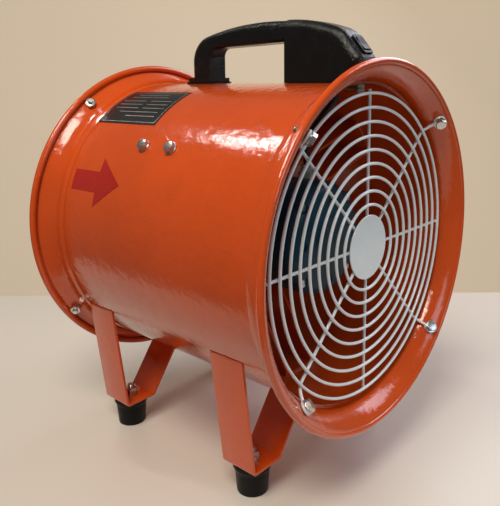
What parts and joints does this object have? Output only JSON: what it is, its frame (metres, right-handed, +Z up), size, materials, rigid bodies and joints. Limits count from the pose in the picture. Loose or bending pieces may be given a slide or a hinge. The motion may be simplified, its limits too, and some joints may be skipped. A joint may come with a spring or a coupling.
{
  "type": "portable duct fan",
  "caption": "Portable axial duct ventilator: flared steel duct with wire guards, two strap stands on rubber feet, and a carrying handle that houses the switch.",
  "frame": {"origin": "on the floor, midway between the two lips, below the duct axis", "axes": "+Z up; the duct axis runs along Y, 0.233 m above the floor, and the front mouth (switch end) looks toward -Y"},
  "size_m": [0.349, 0.3338, 0.4459],
  "materials": {
    "duct_paint": "gloss orange-red sprayed enamel with light orange peel",
    "guard_paint": "off-white powder coat",
    "zinc": "bright zinc plate",
    "plate_black": "satin black anodised sheet",
    "rubber": "moulded black rubber",
    "handle_plastic": "pebbled black nylon",
    "switch_plastic": "gloss black",
    "brass": "plain",
    "capacitor_case": "moulded white case",
    "cable": "matt black jacket",
    "earth_wire": "green jacket",
    "motor_paint": "teal-blue enamel",
    "core_steel": "varnished laminations",
    "copper": "varnished copper",
    "bearing_steel": "ground",
    "gland_plastic": "pale grey-green nylon",
    "blade_paint": "semi-gloss dark grey enamel",
    "shaft_steel": "turned"
  },
  "bodies": {
    "casing": {"front_bellmouth": "duct_paint", "rear_bellmouth": "duct_paint", "duct_tube": "duct_paint", "front_stand": "duct_paint", "rear_stand": "duct_paint", "motor_mount": "duct_paint", "guard_bolts": "zinc", "guard_washers": "zinc", "guard_nuts": "zinc", "front_guard": "guard_paint", "front_guard_hooks": "guard_paint", "front_guard_disc": "guard_paint", "rear_guard": "guard_paint", "rear_guard_hooks": "guard_paint", "rear_guard_disc": "guard_paint", "nameplate": "plate_black", "foot_front_left": "rubber", "foot_front_right": "rubber", "foot_rear_left": "rubber", "foot_rear_right": "rubber", "foot_bolts": "zinc", "foot_washers": "zinc", "foot_nuts": "zinc", "handle_grip": "handle_plastic", "switch_housing": "handle_plastic", "handle_gaskets": "rubber", "handle_screws": "zinc", "handle_washers": "zinc", "switch_body": "switch_plastic", "switch_terminals": "brass", "supply_gland": "handle_plastic", "supply_gland_nuts": "handle_plastic", "run_capacitor": "capacitor_case", "motor_lead": "cable", "earth_lead": "earth_wire", "lead_grommet": "rubber", "earth_stud": "zinc", "earth_nuts": "zinc", "motor_front_bell": "motor_paint", "motor_rear_bell": "motor_paint", "motor_shell": "motor_paint", "stator_core": "core_steel", "stator_windings": "copper", "bearing_outer_rings": "bearing_steel", "tie_bolts": "zinc", "tie_nuts": "zinc", "motor_gland": "gland_plastic", "mount_bolts": "zinc", "mount_washers": "zinc", "mount_nuts": "zinc"},
    "rotor": {"rotor_core": "core_steel", "motor_shaft": "shaft_steel", "bearing_inner_rings": "bearing_steel", "shaft_key": "shaft_steel", "impeller_hub": "blade_paint", "impeller_blades": "blade_paint", "blade_rivets": "zinc", "hub_screw": "zinc", "hub_washer": "zinc"},
    "rocker": {"switch_rocker": "switch_plastic"}
  },
  "joints": [
    {"name": "rotor_spin", "type": "hinge", "parent": "casing", "child": "rotor", "pos_m": [0, 0, 0.233], "axis": [0, 1, 0], "continuous": true},
    {"name": "rocker_tip", "type": "hinge", "parent": "casing", "child": "rocker", "pos_m": [0, -0.13406, 0.41914], "axis": [1, 0, 0], "range_deg": [-16, 0]}
  ]
}
